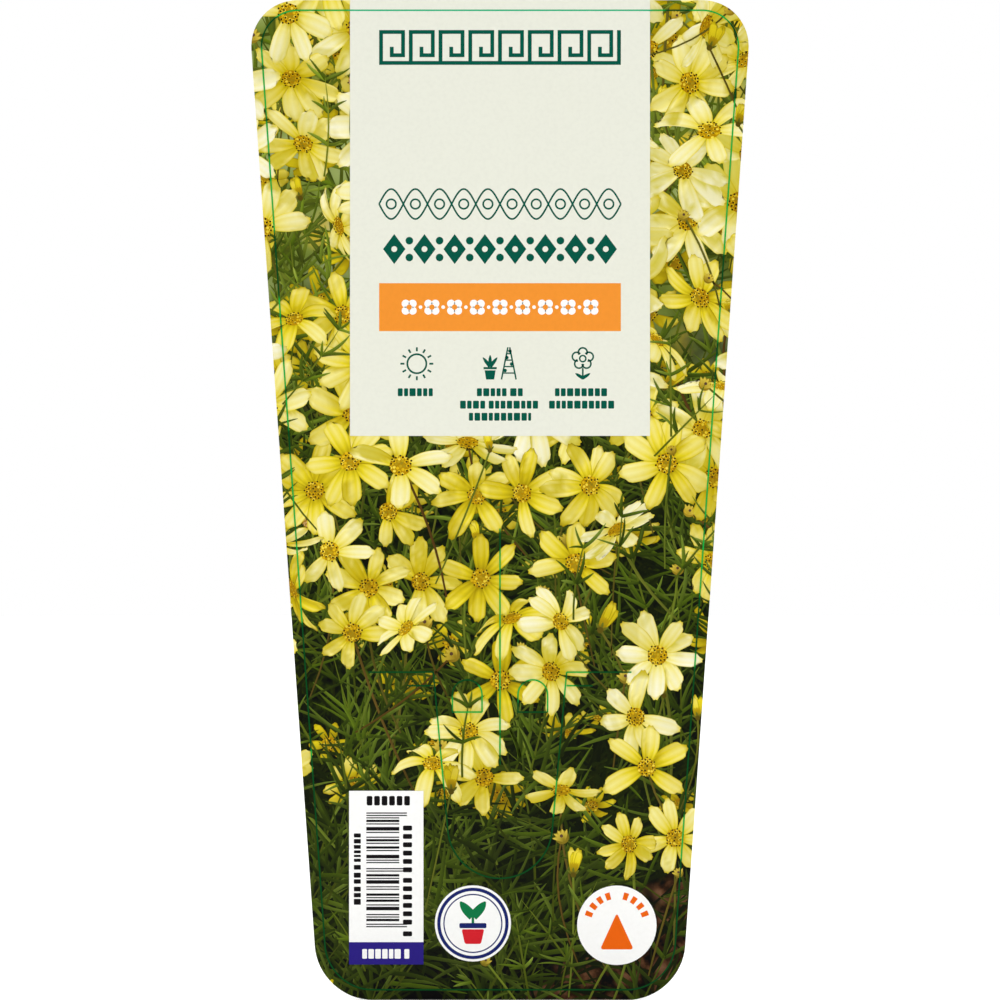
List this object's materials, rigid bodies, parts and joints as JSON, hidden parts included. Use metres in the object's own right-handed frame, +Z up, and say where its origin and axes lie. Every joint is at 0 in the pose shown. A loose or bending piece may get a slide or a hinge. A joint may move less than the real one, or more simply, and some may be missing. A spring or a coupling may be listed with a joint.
{
  "type": "plant pot label",
  "caption": "Tall printed plastic label with rounded corners and a die-cut tongue that hooks behind a plant pot's rim, decorated with a field of pale yellow flowers.",
  "frame": {"origin": "under the middle of the label's bottom edge, half-way through the sheet's thickness", "axes": "+Z up along the label's height, +Y out of its plain back, so the printed front faces -Y, and +X to the right as the front is read"},
  "size_m": [0.1358, 0.0006, 0.273],
  "materials": {
    "printed_sheet": "white polypropylene printed on its front with a picture of yellow flowers and a cream panel, under a thin satin varnish",
    "printed_tongue": "white polypropylene printed on its front with the same picture, under a thin satin varnish"
  },
  "bodies": {
    "sheet": {"label_sheet": "printed_sheet"},
    "tongue": {"tongue": "printed_tongue"}
  },
  "joints": [
    {"name": "tongue_fold", "type": "hinge", "parent": "sheet", "child": "tongue", "pos_m": [0, 0, 0.0895], "axis": [1, 0, 0], "range_deg": [0, 40], "stiffness_Nm_per_rad": 0.004}
  ]
}
